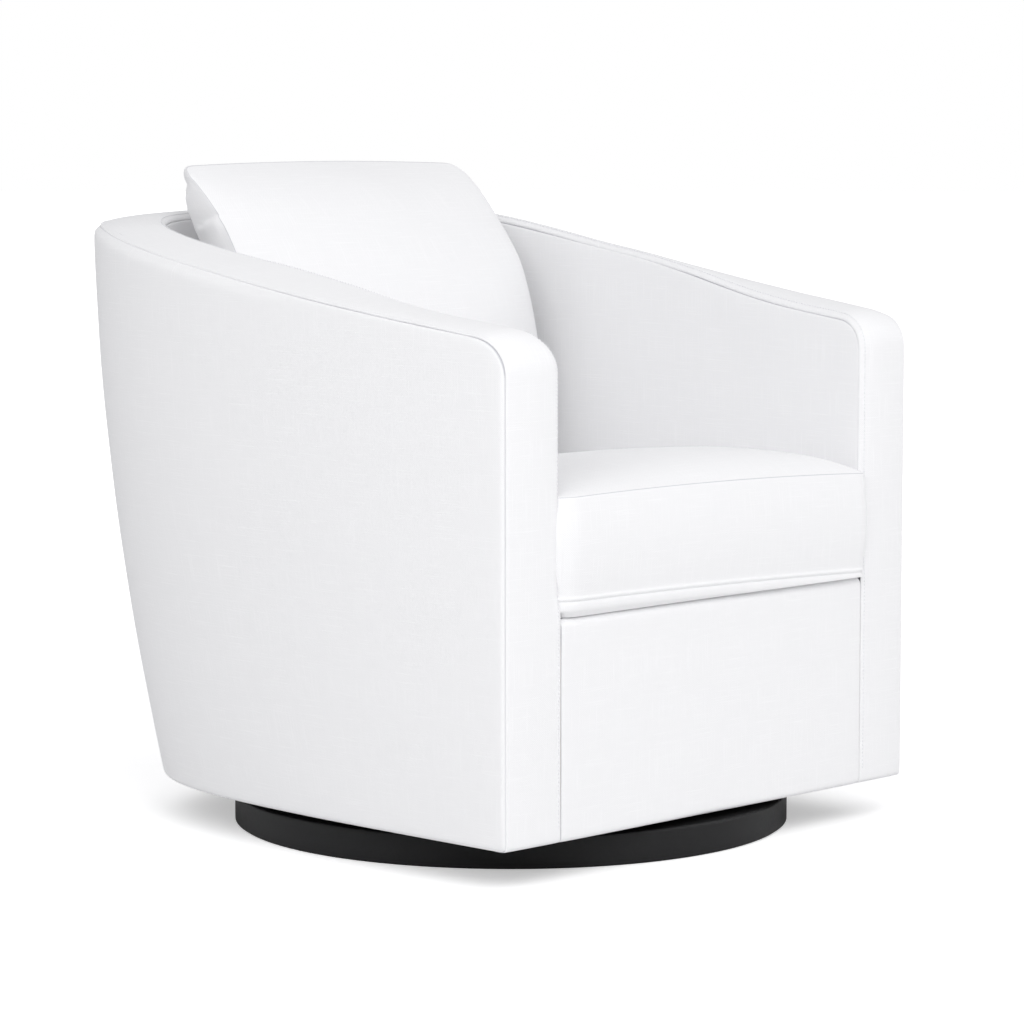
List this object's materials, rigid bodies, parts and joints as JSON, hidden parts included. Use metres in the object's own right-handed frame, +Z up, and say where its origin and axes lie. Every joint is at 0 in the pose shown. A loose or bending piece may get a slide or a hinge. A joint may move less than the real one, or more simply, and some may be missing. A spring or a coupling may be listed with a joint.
{
  "type": "swivel chair",
  "caption": "Upholstered barrel armchair with a flared, raked shell, wrap-over arm band and loose cushions, turning on a ball-bearing swivel over a round black plinth.",
  "frame": {"origin": "on the floor, on the swivel axis", "axes": "+Z up along the swivel axis, -Y the way the seat faces, +X to the right of someone facing the chair"},
  "size_m": [0.7592, 0.8226, 0.8083],
  "materials": {
    "white_cloth": "matte",
    "deck_cloth": "matte",
    "black_lining": "matte",
    "foam": "matte",
    "felt": "matte",
    "webbing": "matte",
    "black_paint_on_wood": "satin",
    "timber": "matte",
    "plywood": "matte",
    "zinc_steel": "satin",
    "ball_steel": "polished",
    "nylon": "satin"
  },
  "bodies": {
    "base": {"floor_felt": "felt", "plinth_rim": "black_paint_on_wood", "plinth_board": "black_paint_on_wood", "plinth_braces": "timber", "swivel_lower_plate": "zinc_steel", "swivel_rivet": "zinc_steel", "lower_plate_screws": "zinc_steel"},
    "ball_cage": {"ball_cage": "nylon", "bearing_balls": "ball_steel"},
    "chair": {"outside_cover": "white_cloth", "inside_cover": "white_cloth", "band_cover": "white_cloth", "front_cover": "white_cloth", "deck_cover": "deck_cloth", "dust_cover": "black_lining", "wall_foam": "foam", "band_foam": "foam", "deck_pad": "foam", "seat_webbing_long": "webbing", "seat_webbing_cross": "webbing", "swivel_board_front": "timber", "swivel_board_back": "timber", "bottom_rail_left": "timber", "bottom_rail_right": "timber", "bottom_rail_back": "timber", "bottom_rail_front": "timber", "arm_post_left": "timber", "arm_post_right": "timber", "middle_post_left": "timber", "middle_post_right": "timber", "back_post_left": "timber", "back_post_right": "timber", "arm_rail_left": "timber", "arm_rail_right": "timber", "back_rail": "timber", "spring_rail_front": "timber", "spring_rail_back": "timber", "seat_rail_left": "timber", "seat_rail_right": "timber", "corner_blocks": "timber", "outside_panel": "plywood", "front_board": "plywood", "swivel_upper_plate": "zinc_steel", "upper_plate_bolts": "zinc_steel"},
    "seat_cushion": {"seat_cushion_cover": "white_cloth", "seat_cushion_foam": "foam"},
    "back_cushion": {"back_cushion_cover": "white_cloth", "back_cushion_filling": "foam"}
  },
  "joints": [
    {"name": "swivel", "type": "hinge", "parent": "base", "child": "chair", "pos_m": [0, 0, 0.05], "axis": [0, 0, 1], "continuous": true},
    {"name": "cage_roll", "type": "hinge", "parent": "base", "child": "ball_cage", "pos_m": [0, 0, 0.044], "axis": [0, 0, 1], "continuous": true},
    {"name": "seat_lift", "type": "slide", "parent": "chair", "child": "seat_cushion", "axis": [0, 0, 1], "range_m": [0, 0.3]},
    {"name": "back_lift", "type": "slide", "parent": "seat_cushion", "child": "back_cushion", "axis": [0, 0, 1], "range_m": [0, 0.3]}
  ],
  "couplings": [
    {"joint": "cage_roll", "follows": "swivel", "ratio": 0.5}
  ]
}
